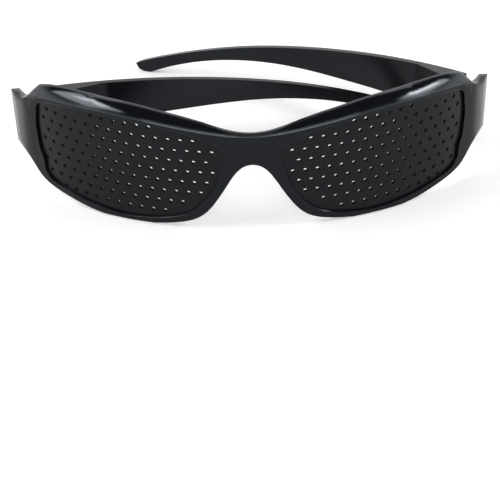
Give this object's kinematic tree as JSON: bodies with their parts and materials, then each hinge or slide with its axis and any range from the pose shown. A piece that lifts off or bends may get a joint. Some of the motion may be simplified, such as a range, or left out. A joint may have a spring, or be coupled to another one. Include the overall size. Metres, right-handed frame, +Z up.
{
  "type": "pinhole glasses",
  "caption": "Wraparound pinhole glasses: a curved front with a brow ledge, perforated lens sheets and bowed tapering temples that fold on screwed hinges.",
  "frame": {"origin": "middle of the nose saddle's crown, half way through the thickness of the bridge", "axes": "+X to the wearer's left, along the width of the front; +Y back towards the face and temple tips; +Z up, square to the table on which the folded glasses stand"},
  "size_m": [0.1466, 0.1019, 0.0411],
  "materials": {
    "frame": "glossy black moulded plastic",
    "lens_sheet": "semi-gloss black perforated plastic sheet",
    "temple": "glossy black moulded plastic",
    "screw": "small slotted steel hinge screw"
  },
  "bodies": {
    "front": {"front_frame": "frame", "lens_left": "lens_sheet", "lens_right": "lens_sheet", "hinge_screw_left": "screw", "hinge_screw_right": "screw"},
    "left_arm": {"temple_left": "temple"},
    "right_arm": {"temple_right": "temple"}
  },
  "joints": [
    {"name": "right_hinge", "type": "hinge", "parent": "front", "child": "right_arm", "pos_m": [-0.06705, 0.03069, -0.00177], "axis": [0, 0.1305, 0.9914], "range_deg": [-7, 75.9]},
    {"name": "left_hinge", "type": "hinge", "parent": "front", "child": "left_arm", "pos_m": [0.06705, 0.03069, -0.00177], "axis": [0, -0.1305, -0.9914], "range_deg": [-4.7, 50.9]}
  ],
  "couplings": [
    {"joint": "left_hinge", "follows": "right_hinge", "ratio": 0.67}
  ]
}
